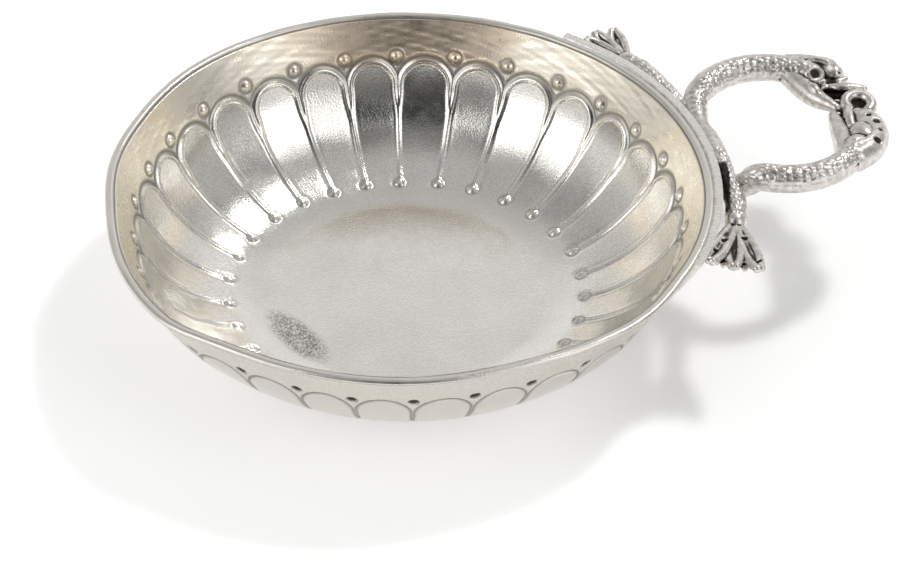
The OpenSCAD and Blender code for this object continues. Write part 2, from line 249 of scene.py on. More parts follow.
def mesh_piece(name, points, faces, material, nodes, shades):
    """A piece from points in millimetres, lists of faces, and values per point for its material."""
    mesh = plain_mesh(name, points * MM, faces)
    for shade, values in shades.items():
        layer = mesh.attributes.new(shade, "FLOAT", "POINT")
        layer.data.foreach_set("value", np.ascontiguousarray(values, np.float32))
    piece = bpy.data.objects.new(name, mesh)
    bpy.context.scene.collection.objects.link(piece)
    mesh.materials.append(material)
    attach(piece, "root")
    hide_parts(*nodes)


def closed_rings(rows, columns):
    """Faces of a closed form: quads between its rings of points, and a cap at each end."""
    row, column = np.meshgrid(np.arange(rows - 1), np.arange(columns), indexing="ij")
    here = row * columns + column
    beside = row * columns + (column + 1) % columns
    quads = np.stack([here, here + columns, beside + columns, beside], -1).reshape(-1, 4)
    first = np.arange(columns)[None, :]
    last = ((rows - 1) * columns + np.arange(columns)[::-1])[None, :]
    return [quads, first, last]


# Bowl section by radius and height, and the middle of the wall's curve
band_way = np.array([1 / math.tan(BAND_SLOPE), 1])
inner_lip = np.array([RIM_R - LIP_W, BOWL_H])
outer_lip = np.array([RIM_R, BOWL_H])
arch = inner_lip - BAND_H * band_way
bow_z = SHEET_T + WALL_BOW_R
bow_centre = np.array([arch[0] - math.sqrt(WALL_BOW_R ** 2 - (bow_z - arch[1]) ** 2), bow_z])
arch_angle = math.atan2(arch[1] - bow_centre[1], arch[0] - bow_centre[0])
spring_angle = arch_angle - arch[0] * math.sin(PITCH / 2) / WALL_BOW_R
outer_arch = bow_centre + (WALL_BOW_R + SHEET_T) * np.array([math.cos(arch_angle), math.sin(arch_angle)])
outer_lean = (outer_lip[0] - outer_arch[0]) / (outer_lip[1] - outer_arch[1])

# Places of the beads as seen from the middle of the wall's curve
lower_bead_angle = -math.acos((LOWER_RING_R - bow_centre[0]) / WALL_BOW_R)
upper_bead = inner_lip - UPPER_BEAD_DROP * band_way - bow_centre
upper_bead_angle = math.atan2(upper_bead[1], upper_bead[0])
upper_bead_reach = math.hypot(*upper_bead)

# Uneven places of the lines, the arches and the beads
line_shift = np.radians(hand.uniform(-LINE_SHIFT, LINE_SHIFT, FLUTES))
arch_shift = hand.uniform(-ARCH_SHIFT, ARCH_SHIFT, FLUTES)
bead_shift = hand.uniform(-BEAD_SHIFT, BEAD_SHIFT, (FLUTES, 2))


def plain_reach(angle, bow_r, lower, lip):
    """Distance from the curve's middle to the plain bowl: the wall's curve and the band above it."""
    along = lip - lower
    start = lower - bow_centre
    crossed = start[0] * along[1] - start[1] * along[0]
    band = crossed / (np.cos(angle) * along[1] - np.sin(angle) * along[0])
    return np.where(angle > arch_angle - BAND_NEAR, soft_max(band, bow_r, ARCH_ROUND), bow_r)


def waves(count, low, high, across, along):
    """A smooth uneven field from waves round the bowl, of about unit height."""
    field = 0
    for _ in range(count):
        turns = hand.randint(low, high)
        slant = hand.uniform(-1, 1) * turns
        phase = hand.uniform(0, 2 * math.pi)
        field = field + np.sin(turns * across + slant * along + phase)
    return field / math.sqrt(count)


def around(theta, values):
    """Values at the lines between flutes, carried smoothly round the bowl."""
    place = ((theta - FLUTE_TURN) / PITCH) % FLUTES
    low = np.floor(place).astype(int) % FLUTES
    share = step(place - np.floor(place), 0, 1)
    return values[low] * (1 - share) + values[(low + 1) % FLUTES] * share


def rim_wobble(theta):
    """How far the rim is out of round, away from the handle's strap."""
    from_handle = np.abs((np.degrees(theta) + 180) % 360 - 180)
    total = 0
    for middle, depth, width in RIM_DENTS:
        off = (np.degrees(theta) - middle + 180) % 360 - 180
        total = total + depth * bump(off, 0, width)
    return total * step(from_handle, *DENTS_FROM)


def bead_field(theta, angle, bow_r, bead_angle, size):
    """Distance from the nearest bead's middle, in bead radii."""
    place = (theta + around(theta, line_shift) - FLUTE_TURN) / PITCH
    nearest = np.round(place).astype(int) % FLUTES
    radius = bow_centre[0] + bow_r * np.cos(angle)
    along = radius * (place - np.round(place)) * PITCH - bead_shift[nearest, 0]
    up = bow_r * (angle - bead_angle) - bead_shift[nearest, 1]
    return np.sqrt(along ** 2 + up ** 2) / size


def panel_place(theta, angle, bow_r):
    """Place on a flute: in from its outline, share across it, up from its arch's foot, half its width."""
    radius = bow_centre[0] + bow_r * np.cos(angle)
    place = (theta + around(theta, line_shift) - FLUTE_TURN) / PITCH
    flute = np.floor(place).astype(int) % FLUTES
    across = radius * (place - np.floor(place) - 0.5) * PITCH
    half = radius * PITCH / 2
    up = bow_r * (angle - spring_angle) - arch_shift[flute]
    arch_half = (bow_centre[0] + bow_r * math.cos(spring_angle)) * PITCH / 2
    round_edge = arch_half - np.hypot(across, up)
    edge = np.where(up > 0, round_edge, half - np.abs(across))
    return edge, across / half, up, half


def inner_wall(theta, angle):
    """The wall's inside: its reach from the curve's middle, and the shades for its material."""
    edge, share, up, half = panel_place(theta, angle, WALL_BOW_R)
    high = step(up, *LINE_CHANGE)
    line = LINE_H * mix(LOW_LINE_H, 1, high) * bump(edge, LINE_IN * high, LINE_W * mix(LOW_LINE_W, 1, high))
    line = line * step(angle - lower_bead_angle, *LINE_START)
    trench = bump(edge, *TRENCH_PLACE) * step(up, *TRENCH_START)
    upper = bead_field(theta, angle, upper_bead_reach, upper_bead_angle, BEAD_R)
    lower = bead_field(theta, angle, WALL_BOW_R, lower_bead_angle, LOWER_BEAD_SIZE)
    moat = bump(upper, *UPPER_MOAT) + LOWER_MOAT_SHARE * bump(lower, *LOWER_MOAT)
    band = step(bow_centre[1] + WALL_BOW_R * np.sin(angle) - arch[1], *BAND_START) + 0 * theta
    flat = half ** 2 / (2 * (bow_centre[0] + WALL_BOW_R * np.cos(angle)))
    panel = FLATNESS * flat * (1 - share ** 2) * step(edge, 0, PANEL_EDGE)
    panel = panel * step(angle - lower_bead_angle, *PANEL_START)
    dents = WALL_DENTS * waves(*WALL_WAVES, theta, 2 * angle)
    dents = dents + BAND_DENTS * band * waves(*BAND_WAVES, theta, 3 * angle)
    reach = plain_reach(angle, WALL_BOW_R, arch, inner_lip) + dents - panel - line
    reach = reach + TRENCH * trench + MOAT_DEPTH * moat
    reach = reach - BEAD_H * dome(upper, BEAD_POWER) - LOWER_BEAD_H * dome(lower, LOWER_BEAD_POWER)
    ringed = (upper > UPPER_DARK_RING[0]) * (upper < UPPER_DARK_RING[1])
    groove = TRENCH_DARK * trench + MOAT_DARK * moat * ringed
    groove = groove + LOWER_RING_DARK * bump(lower, *LOWER_DARK_RING)
    return reach, np.clip(groove, 0, 1), band


def outer_wall(theta, angle):
    """The wall's outside, where the chased lines are sunk and the beads are dents."""
    bow_r = WALL_BOW_R + SHEET_T
    edge, _, up, _ = panel_place(theta, angle, bow_r)
    line = bump(edge, OUTER_LINE_IN * step(up, *OUTER_LINE_CHANGE), OUTER_LINE_W)
    line = line * step(angle, *OUTER_LINE_START)
    dot_angle = math.asin((BOWL_H - DOT_DROP - bow_centre[1]) / bow_r)
    dot = bead_field(theta, angle, bow_r, dot_angle, DOT_R)
    dents = WALL_DENTS * waves(*WALL_WAVES, theta, 2 * angle)
    reach = plain_reach(angle, bow_r, outer_arch, outer_lip) + dents
    reach = reach - OUTER_LINE_DEPTH * line - DOT_DEPTH * dome(dot, 0.5)
    groove = np.clip(OUTER_LINE_DARK * line + DOT_DARK * step(dot, *DOT_SHADE), 0, DOT_DARK)
    band = step(bow_centre[1] + bow_r * np.sin(angle) - arch[1], *OUTER_BAND_START) + 0 * theta
    return reach, groove, band


def wall_angles(top_r):
    """Angles of the wall's rows about the curve's middle, from the floor to just below the rim."""
    low = math.radians(-90)
    top = math.atan2(BOWL_H - WALL_TOP_DROP - bow_centre[1], top_r - bow_centre[0])
    count = int((top - low) * WALL_BOW_R / ROW)
    return np.linspace(low, top, count)[:, None]


def floor_unevenness(x, y):
    """Shallow waves that hammering and wear leave in the floor."""
    total = 0
    for _ in range(FLOOR_WAVES):
        length = hand.uniform(*FLOOR_WAVE_L)
        turn = hand.uniform(0, 2 * math.pi)
        phase = hand.uniform(0, 2 * math.pi)
        run = (x * math.cos(turn) + y * math.sin(turn)) * 2 * math.pi / length
        total = total + np.sin(run + phase) * length / FLOOR_WAVE_L[1]
    return total / math.sqrt(FLOOR_WAVES)


def floor_rings(theta):
    """Radii and heights of the rings of the floor's upper face."""
    radii = np.concatenate([[FLOOR_FIRST], np.arange(1, bow_centre[0], FLOOR_ROW)])[:, None]
    dents = floor_unevenness(radii * np.cos(theta), radii * np.sin(theta))
    return radii + 0 * theta, SHEET_T + FLOOR_DENTS * dents * step(bow_centre[0] - radii, 0, FLOOR_EVEN)


def lip_rings(theta):
    """Radii and heights of the rings over the lip, from its inner edge to its outer one."""
    turns = np.radians(LIP_TURNS)[:, None]
    inset = LIP_ROUND * (1 - np.cos(turns))
    edge_z = BOWL_H - LIP_ROUND * (1 - np.sin(turns))
    inner_r = inner_lip[0] + LIP_INSET + inset
    outer_r = outer_lip[0] - inset[::-1]
    flat_r = np.linspace(inner_r[-1, 0], outer_r[0, 0], LIP_FLAT_ROWS + 2)[1:-1, None]
    radii = np.concatenate([inner_r, flat_r, outer_r])
    heights = np.concatenate([edge_z, BOWL_H + 0 * flat_r, edge_z[::-1]])
    return radii + 0 * theta, heights + LIP_DENTS * waves(*LIP_WAVES, theta, 0 * theta) - LIP_DENTS


def bowl_mesh():
    """Rings of points from the floor's middle over the wall and the lip to the underside's middle."""
    theta = np.linspace(0, 2 * math.pi, COLUMNS, endpoint=False)[None, :]
    floor_r, floor_z = floor_rings(theta)
    inner_angles = wall_angles(inner_lip[0] - INNER_TOP_IN)
    outer_angles = wall_angles(outer_lip[0] - OUTER_TOP_IN)[::-1]
    inner, inner_groove, inner_band = inner_wall(theta, inner_angles)
    outer, outer_groove, outer_band = outer_wall(theta, outer_angles)
    inner_r = bow_centre[0] + inner * np.cos(inner_angles)
    inner_z = bow_centre[1] + inner * np.sin(inner_angles)
    outer_r = bow_centre[0] + outer * np.cos(outer_angles)
    outer_z = bow_centre[1] + outer * np.sin(outer_angles)
    lip_r, lip_z = lip_rings(theta)
    radius = np.concatenate([floor_r, inner_r, lip_r, outer_r, floor_r[::-1]])
    height = np.concatenate([floor_z, inner_z, lip_z, outer_z, 0 * floor_z])
    radius = radius + rim_wobble(theta) * step(height, DENTS_FOOT, BOWL_H)
    points = np.stack([radius * np.cos(theta), radius * np.sin(theta), height], -1).reshape(-1, 3)
    # Painted shade along the lip's rounded inner edge, carried in the groove shade
    lip_shade_line = 0 * lip_r
    lip_shade_line[:LIP_SHADE_ROWS] = LIP_SHADE_DARK
    rings = (floor_r, inner_r, lip_r, outer_r, floor_r)
    values = {
        "groove": (0, inner_groove, lip_shade_line, outer_groove, 0),
        "band": (0, inner_band, 0, outer_band, 0),
        "lip": (0, 0, 1, 0, 0),
        # The outer wall and underside carry painted shade for the shadowed table they mirror, with some
        # warm tarnish
        "outside": (0, 0, 0, 1, 1),
        "floor": (1, 1 - step(inner_r, *FLOOR_END), 0, 0, 0),
    }
    shades = {}
    for name, group in values.items():
        shades[name] = np.concatenate([value + 0 * ring for value, ring in zip(group, rings)]).ravel()
    return points, closed_rings(len(radius), COLUMNS), shades


# Handle: two cast serpents in the part's places, with sizes fitted more closely to the photograph

STRAP_T = 0.9
SOLDER_T = 0.15
FILE_DEPTH = 0.25
RING_X = 51.2
RING_Z = 17.6
RING_RX = 11.1
RING_RY = 12.65
RING_LIFT = 0.4
BODY_D = 3.7
TAIL_D = 2.9
TAIL_R = 42.8
TAIL_Z = 16.4
# Side of the ring that a serpent takes, towards +Y or -Y; its tail takes the other side
REAR = 1
FRONT = -1
# Bodies at the crossing, where the rear serpent lies on top: thickness, height, dive from the ring
CROSSING_D = {REAR: 2.9, FRONT: 2.4}
CROSSING_Z = {REAR: 17.0, FRONT: 14.3}
DIVE = {REAR: 0, FRONT: RING_Z - CROSSING_Z[FRONT]}
# Degrees round the ring: first place, step and count, then the dive's start and middle with their shares
NECK_ANGLE = 42
RING_STEP = 14
RING_PLACES = 6
DIVE_START = (125, 0.1)
DIVE_MIDDLE = (138, 0.65)
# Degrees on the rim: crossing, places where a tail leaves the strap with shares out, back from the fin
CROSSING_ANGLES = (-5, 0, 5)
LEAVING = ((10.5, 0.3), (15, 0.75))
TAIL_BACK = (5, 2.5, 0)
# Shares of the rise to the tail's height at the places where it leaves the strap
LEAVING_RISES = {REAR: (0.5, 0.9), FRONT: (0.15, 0.6)}

# Tail fins: the root's angle on the rim, then each lobe's tip by radius, angle and height
FINS = {
    REAR: (23.5, ((41.4, 38.2, 17.5), (44.3, 36.8, 16.6), (47.6, 36, 16.6))),
    FRONT: (29, ((42.3, 37.8, 17.1), (44.8, 38, 16.7), (46.8, 36, 16.7))),
}
# A rib's places as shares of its length, thickness there, shortening of an outer rib
RIB_SHARES = (0, 0.4, 0.75, 1)
RIB_SIZES = (0.9, 1, 1.05, 0.9)
RIB_SHORTER = 0.05
# Spread of a lobe's two ribs and of a web's ribs at those places
LEAF = (0.35, 0.95, 1.1, 0.45)
FAN = (0.35, 0.8, 1, 1.1)
# Ribs of a lobe, its vein and a web: number, distance apart, thickness, spread, lift and curl of the tip
LOBE = (2, 1.45, 1.15, LEAF, 0.1, 0.3)
VEIN = (1, 0, 1.2, LEAF)
WEB = (3, 0.8, 0.9, FAN)
# Ends of a vein and a web: share of the way to the tip, and how deep they lie
VEIN_END = (0.9, 0.3)
WEB_END = (0.86, 0.7)

# Chased scales: length along a body, number round it, relief, level, width of an edge
SCALE_L = 1
SCALES_ROUND = 12
SCALE_H = 0.13
SCALE_LEVEL = 0.6
SCALE_EDGE = 0.4
# Size of the table of scales, and one scale's greatest shift and slope
SCALE_TABLE = 64
SCALE_SHIFT = 0.28
SCALE_SLOPE = 0.13
# Turn round a body of its scales' middle and half their width, the same on the tail, where that starts
SCALE_MIDDLE = {REAR: math.radians(138), FRONT: math.radians(66)}
SCALE_HALF = math.radians(50)
TAIL_SCALE_MIDDLE = math.radians(90)
TAIL_SCALE_HALF = math.radians(80)
TAIL_SCALES_FROM = (28, 33)
# The belly's share of the relief, and the turn over which it changes
BELLY_SHARE = 0.2
BELLY_FADE = 0.2
# Seam beside the belly: depth, middle and width, and the sines of the turns where it ends
SEAM_DEPTH = 0.1
SEAM_PLACE = (0.12, 0.1)
SEAM_END = (0.9, 0.5)
# Smoother stretch along the strap: its places along a body, and how smooth it is
PLAIN = (20, 23, 30, 33)
PLAIN_SHARE = 0.8
# Folds of the skin before the crossing: height, middle and spread, length of one
FOLD_H = 0.06
FOLD_PLACE = (21.5, 2.2)
FOLD_L = 0.95

# Bars of the heads: x and y in the ring's plane, height over that plane, thickness
REAR_BARS = {
    "upper_jaw": ((57.4, 11.3, 0.35, 3.7), (59.4, 10.9, 0.1, 3.7), (61.2, 10, 0, 3.8),
        (62.2, 9.3, 0, 3.6), (62.8, 8.6, -0.1, 2.7)),
    "neck_fold": ((59.6, 12.4, 0.9, 0.7), (59.2, 11.3, 1.7, 0.7), (58.5, 9.7, 1.6, 0.7),
        (58.3, 8.9, 0.9, 0.7)),
    "brow": ((59.5, 9.9, 1.7, 0.8), (60.7, 9.9, 1.9, 0.9), (61.9, 9, 1.8, 0.8)),
    "upper_lip": ((58.9, 7.5, 0.2, 1.1), (60.6, 6.9, 0.2, 1), (62.4, 6.4, 0.2, 1),
        (63.7, 6.8, 0.2, 0.9)),
    "lower_jaw": ((57.2, 9.6, -0.1, 3.3), (57.9, 6.8, -0.3, 3.1), (58.7, 4.3, -0.3, 2.6),
        (59.8, 2.3, -0.2, 1.8), (60.3, 1.4, -0.2, 1.4)),
}
REAR_TONGUE = ((60.4, 5.7, 0.1, 1.3), (62.3, 5, 0.2, 1.7), (64, 4.6, 0.2, 1.6), (65.3, 4.2, 0, 1.2))
TONGUE_SQUASH = 0.8
FRONT_BARS = {
    "nose": ((58.6, -10.4, 0.3, 3.7), (60.9, -8.9, 0.1, 3.8), (62.6, -6.6, 0, 3.9),
        (63.1, -4.2, 0, 3.8), (62.9, -2.4, 0, 3.2), (62.4, -1.3, 0, 2.2)),
    "lower_jaw": ((57.8, -9.2, -0.1, 3.4), (58.4, -6.6, -0.3, 2.9), (58.8, -3.9, -0.3, 2.5),
        (59.2, -1.4, -0.3, 2), (59.4, -0.1, -0.3, 1.5)),
    "cheek_ridge": ((58.6, -9.9, 1.2, 1.1), (60.2, -9.1, 1.5, 1.2), (61.7, -8.1, 1.5, 1)),
}
# The front serpent's tongue: its loop's middle, radius, thickness, tilt and turns in degrees, its root
LOOP_MIDDLE = (63.4, 1.2)
LOOP_R = 1.75
LOOP_D = 1.6
LOOP_TILT = 0.25
LOOP_TURNS = range(200, -61, -20)
FRONT_TONGUE_ROOT = ((60.7, -3.2, 0, 1.5), (61.1, -1.2, 0.2, LOOP_D))
# Eggs of the heads: x, y and height, half lengths along, across and up, turn in degrees
REAR_EGGS = {
    "jaw_bulge": (58.5, 5.2, 0.9, 0.7, 1.3, 0.6, 14),
    "mouth_floor": (61.4, 4.6, -1, 2.4, 3.4, 0.6, 10),
}
FRONT_EGGS = {
    "cheek_plate": (61, -6.4, 1.2, 1.5, 2, 1, 10),
    "mouth_floor": (60.3, -1, -0.9, 1.1, 3.2, 0.6, 0),
    "loop_floor": (*LOOP_MIDDLE, -0.6, LOOP_R, LOOP_R, 0.35, 0),
}
# Punched hollows: x, y, height over the ring's plane, radius and depth. Rear: eye, nostril, four in the
# mouth, four in the fin. Front: four on the nose, two in the mouth, one in the loop.
REAR_HOLLOWS = (
    (59.6, 7.2, 1.8, 0.95, 0.5), (63.3, 7.5, 0.9, 0.35, 0.3), (62.3, 4.4, -0.5, 1.3, 0.2),
    (61.6, 6.6, 0, 1.1, 0.25), (60.8, 4.8, -0.4, 1.2, 0.25), (60.9, 2.6, -0.6, 1.1, 0.25),
    (36.2, -21.4, -0.4, 0.55, 0.4), (39, -26.5, -0.5, 0.5, 0.3), (34.1, -23.2, -0.2, 0.5, 0.35),
    (38.9, -21.2, -0.5, 0.45, 0.3))
FRONT_HOLLOWS = (
    (62.9, -3.6, 1.7, 0.5, 0.3), (63.3, -5.3, 1.7, 0.65, 0.3), (63.1, -7.1, 1.5, 0.5, 0.3),
    (62, -9.1, 1.6, 0.7, 0.3), (60.4, -0.4, -0.6, 1, 0.25), (60.3, -2, -0.5, 1, 0.25),
    (63.4, 0.9, -0.5, 1.1, 0.25))

# Skin of a casting: its grid, rounds of smoothing that find hollows, depth of a fully dark one
SKIN = 0.1
SMOOTHING = 30
DARK_DEPTH = 0.1
# Depth in a punched hollow, as a share, between which painted shade darkens it
PIT_SHADE_DEPTHS = (0.1, 0.95)
STRAP_ROOM = 0.01
# Painted shade on a tail's flank in the gap beside the strap: distances from the strap where it ends, and
# degrees along the rim
STRAP_SHADE_REACH = (1.6, 1.0)
STRAP_SHADE_ANGLES = (8, 10, 21, 24)
# Distance between the rings of a body and of a bar, and points round each
BODY_ROW = 0.11
BODY_COLUMNS = 72
BAR_ROW = 0.2
BAR_COLUMNS = 40

scale_jitter = hand.uniform(-SCALE_SHIFT, SCALE_SHIFT, (SCALE_TABLE, SCALES_ROUND, 2))
scale_lean = hand.uniform(-SCALE_SLOPE, SCALE_SLOPE, (SCALE_TABLE, SCALES_ROUND, 2))


def strap_r(z):
    """Radius of the rim strap's outer face at a height."""
    return RIM_R - (BOWL_H - z) * outer_lean + SOLDER_T + STRAP_T


def seated_r(z, d):
    """Radius at which a filed body lies on the strap's solder."""
    return strap_r(z) + SOLDER_T + d / 2 / math.cos(math.atan(outer_lean)) - FILE_DEPTH


def polar(r, degrees, z, d):
    """A place by radius, degrees from the handle, height and thickness."""
    a = math.radians(degrees)
    return [r * math.cos(a), r * math.sin(a), z, d]


def ring_place(side, degrees, z, d):
    """A place on one half of the ring."""
    a = math.radians(degrees)
    return [RING_X + RING_RX * math.cos(a), side * RING_RY * math.sin(a), z, d]


def head_place(x, y, up, d):
    """A place on a head, by its height over the ring's plane."""
    return [x, y, RING_Z + up, d]


def leaving_place(side, degrees, out_share, rise):
    """A place where a tail leaves the strap and rises to its own height."""
    z = mix(CROSSING_Z[side], TAIL_Z, rise)
    return polar(mix(seated_r(z, TAIL_D), TAIL_R, out_share), -side * degrees, z, TAIL_D)


def body_places(side):
    """A serpent's body from its neck round the ring, over the crossing and along the rim to its fin."""
    top = RING_Z + RING_LIFT
    dive = DIVE[side]
    cross_d = CROSSING_D[side]
    cross_z = CROSSING_Z[side]
    root_angle, _ = FINS[side]
    places = [ring_place(side, NECK_ANGLE + k * RING_STEP, top, BODY_D) for k in range(RING_PLACES)]
    places.append(ring_place(side, DIVE_START[0], top - DIVE_START[1] * dive, BODY_D))
    places.append(ring_place(side, DIVE_MIDDLE[0], RING_Z - DIVE_MIDDLE[1] * dive, (BODY_D + cross_d) / 2))
    for a in CROSSING_ANGLES:
        places.append(polar(seated_r(cross_z, cross_d), -side * a, cross_z, cross_d))
    for (a, out_share), rise in zip(LEAVING, LEAVING_RISES[side]):
        places.append(leaving_place(side, a, out_share, rise))
    for back in TAIL_BACK:
        places.append(polar(TAIL_R, -side * (root_angle - back), TAIL_Z, TAIL_D))
    return places


def smooth_run(places, spacing):
    """Evenly spaced places on a smooth curve through the given ones, and their distances along it."""
    p = np.array([places[0], *places, places[-1]], float)
    t = np.linspace(0, 1, 40, endpoint=False)[:, None]
    curve = []
    for a, b, c, d in zip(p[:-3], p[1:-2], p[2:-1], p[3:]):
        curve.append(0.5 * (2 * b + (c - a) * t + (2 * a - 5 * b + 4 * c - d) * t ** 2
                            + (3 * b - a - 3 * c + d) * t ** 3))
    dense = np.vstack([*curve, p[-1:]])
    lengths = np.linalg.norm(np.diff(dense[:, :3], axis=0), axis=1)
    along = np.concatenate([[0], np.cumsum(lengths)])
    even = np.linspace(0, along[-1], max(int(along[-1] / spacing), 2))
    return np.stack([np.interp(even, along, column) for column in dense.T], 1), even


def tube(run, along, columns, side=1, relief=None, squash=1.0):
    """A closed bar along a run, raised by a relief of the distance along it and the turn round it."""
    ahead = np.gradient(run[:, :3], axis=0)
    ahead = ahead / np.linalg.norm(ahead, axis=1, keepdims=True)
    out = side * np.cross(ahead, [0, 0, 1])
    out = out / np.linalg.norm(out, axis=1, keepdims=True)
    upward = side * np.cross(out, ahead)
    turn = np.linspace(0, 2 * math.pi, columns, endpoint=False)[None, :]
    radius = run[:, 3:] / 2 + 0 * turn
    if relief is not None:
        radius = radius + relief(along[:, None], turn, radius)
    points = run[:, None, :3] + (radius * np.cos(turn))[..., None] * out[:, None, :] \
        + squash * (radius * np.sin(turn))[..., None] * upward[:, None, :]
    return points.reshape(-1, 3), closed_rings(len(run), columns)


def ellipsoid(centre, axes, rows=24, columns=40):
    """A closed egg round a centre, with its three half axes as vectors."""
    rise = np.linspace(-math.pi / 2, math.pi / 2, rows)[1:-1, None]
    turn = np.linspace(0, 2 * math.pi, columns, endpoint=False)[None, :]
    unit = np.stack([np.cos(rise) * np.cos(turn), np.cos(rise) * np.sin(turn), np.sin(rise) + 0 * turn], -1)
    points = np.asarray(centre[:3]) + unit.reshape(-1, 3) @ np.asarray(axes, float)
    return points, closed_rings(rows - 2, columns)


def ball(place):
    return ellipsoid(place, np.eye(3) * place[3] / 2)


def bar(places, squash=1.0):
    """A smooth bar through places, with round ends."""
    run, along = smooth_run(places, BAR_ROW)
    return [tube(run, along, BAR_COLUMNS, squash=squash), ball(run[0]), ball(run[-1])]


def head_egg(x, y, up, half_x, half_y, half_up, turn):
    """An egg on a head, with half lengths along, across and up, turned in the ring's plane."""
    c = math.cos(math.radians(turn))
    s = math.sin(math.radians(turn))
    axes = [[half_x * c, half_x * s, 0], [-half_y * s, half_y * c, 0], [0, 0, half_up]]
    return ellipsoid(head_place(x, y, up, 0), axes)


def scale_cells(along, turn, radius):
    """How far each point stands inside its scale, and the height of the scale's slope there."""
    u = along / SCALE_L + 0 * turn
    v = turn / (2 * math.pi) * SCALES_ROUND + 0 * along
    column = np.floor(u).astype(int)
    row = np.floor(v).astype(int)
    nearest = np.full(u.shape, np.inf)
    second = np.full(u.shape, np.inf)
    lean = np.zeros(u.shape)
    for du in (-1, 0, 1):
        for dv in (-1, 0, 1):
            i = (column + du) % SCALE_TABLE
            j = (row + dv) % SCALES_ROUND
            stagger = 0.5 * (i % 2) - 0.25
            off_u = (u - column - du - 0.5 - scale_jitter[i, j, 0]) * SCALE_L
            off_v = v - row - dv - 0.5 - stagger - scale_jitter[i, j, 1]
            off_v = off_v * 2 * math.pi * radius / SCALES_ROUND
            distance = np.hypot(off_u, off_v)
            closer = distance < nearest
            second = np.where(closer, nearest, np.minimum(second, distance))
            lean = np.where(closer, scale_lean[i, j, 0] * off_u + scale_lean[i, j, 1] * off_v, lean)
            nearest = np.where(closer, distance, nearest)
    return second - nearest, lean


def chased_scales(along, turn, radius, side):
    """Uneven low scales along a body's back, with a seam beside the smooth belly."""
    inside, lean = scale_cells(along, turn, radius)
    raised = step(inside, 0, SCALE_EDGE)
    on_tail = step(along, *TAIL_SCALES_FROM)
    middle = mix(SCALE_MIDDLE[side], TAIL_SCALE_MIDDLE, on_tail)
    half = mix(SCALE_HALF, TAIL_SCALE_HALF, on_tail)
    off_middle = np.abs((turn - middle + math.pi) % (2 * math.pi) - math.pi)
    back = mix(BELLY_SHARE, 1, step(half - off_middle, -BELLY_FADE, BELLY_FADE))
    seam = bump(off_middle - half, *SEAM_PLACE) * step(np.sin(turn), *SEAM_END)
    return back * (SCALE_H * (raised - SCALE_LEVEL) + lean * raised) - SEAM_DEPTH * seam


def body_relief(side):
    """The relief of one serpent's body: scales, smoother along the strap, and folds before the crossing."""
    def relief(along, turn, radius):
        plain = between(along, *PLAIN)
        folds = FOLD_H * bump(along, *FOLD_PLACE) * np.sin(2 * math.pi * along / FOLD_L)
        return (1 - PLAIN_SHARE * plain) * chased_scales(along, turn, radius, side) + folds
    return relief


def body_parts(side):
    run, along = smooth_run(body_places(side), BODY_ROW)
    return [tube(run, along, BODY_COLUMNS, side, body_relief(side)), ball(run[0]), ball(run[-1])]


def rib_fan(start, tip, ribs, pitch, thickness, spreads, lift=0.0, curl=0.0):
    """Ribs side by side from a fin's root out to a tip, bent up at their ends."""
    run = tip[:2] - start[:2]
    side_way = np.array([-run[1], run[0]]) / np.linalg.norm(run)
    rises = (0, lift, lift, lift + curl)
    parts = []
    for k in range(ribs):
        from_middle = k - (ribs - 1) / 2
        short = 1 - RIB_SHORTER * abs(from_middle)
        places = []
        for share, spread, up, size in zip(RIB_SHARES, spreads, rises, RIB_SIZES):
            x, y = start[:2] + share * short * run + spread * from_middle * pitch * side_way
            z = mix(start[2], tip[2], share) + up
            places.append([x, y, z, size * thickness])
        parts += bar(places)
    return parts


def sunk_end(root, end, share, drop):
    """The place at a share of the way from a root to an end, lowered."""
    place = root + share * (end - root)
    place[2] -= drop
    return place


def fin_parts(side):
    """A tail fin of three hollow lobes of two ribs each, with a thinner web between them."""
    root_angle, tips = FINS[side]
    root = np.array(polar(TAIL_R, -side * root_angle, TAIL_Z, TAIL_D))
    ends = [np.array(polar(r, -side * a, z, 0)) for r, a, z in tips]
    parts = [ball(root)]
    for end in ends:
        parts += rib_fan(root, end, *LOBE)
        parts += rib_fan(root, sunk_end(root, end, *VEIN_END), *VEIN)
    for one, other in zip(ends[:-1], ends[1:]):
        parts += rib_fan(root, sunk_end(root, (one + other) / 2, *WEB_END), *WEB)
    return parts


def head_parts(bars, eggs):
    parts = []
    for places in bars.values():
        parts += bar([head_place(*place) for place in places])
    for egg in eggs.values():
        parts.append(head_egg(*egg))
    return parts


def rear_head():
    """Head with a thick blunt upper jaw, a deep eye and a brow, its mouth open to the other one's loop."""
    tongue = bar([head_place(*place) for place in REAR_TONGUE], TONGUE_SQUASH)
    return head_parts(REAR_BARS, REAR_EGGS) + tongue


def front_head():
    """Head with a long hooked nose and a smooth cheek plate, its tongue curled up in a loop."""
    curl = [head_place(*place) for place in FRONT_TONGUE_ROOT]
    for degrees in LOOP_TURNS:
        x, y, _, d = polar(LOOP_R, degrees, 0, LOOP_D)
        curl.append(head_place(LOOP_MIDDLE[0] + x, LOOP_MIDDLE[1] + y, LOOP_TILT * y / LOOP_R, d))
    return head_parts(FRONT_BARS, FRONT_EGGS) + bar(curl)


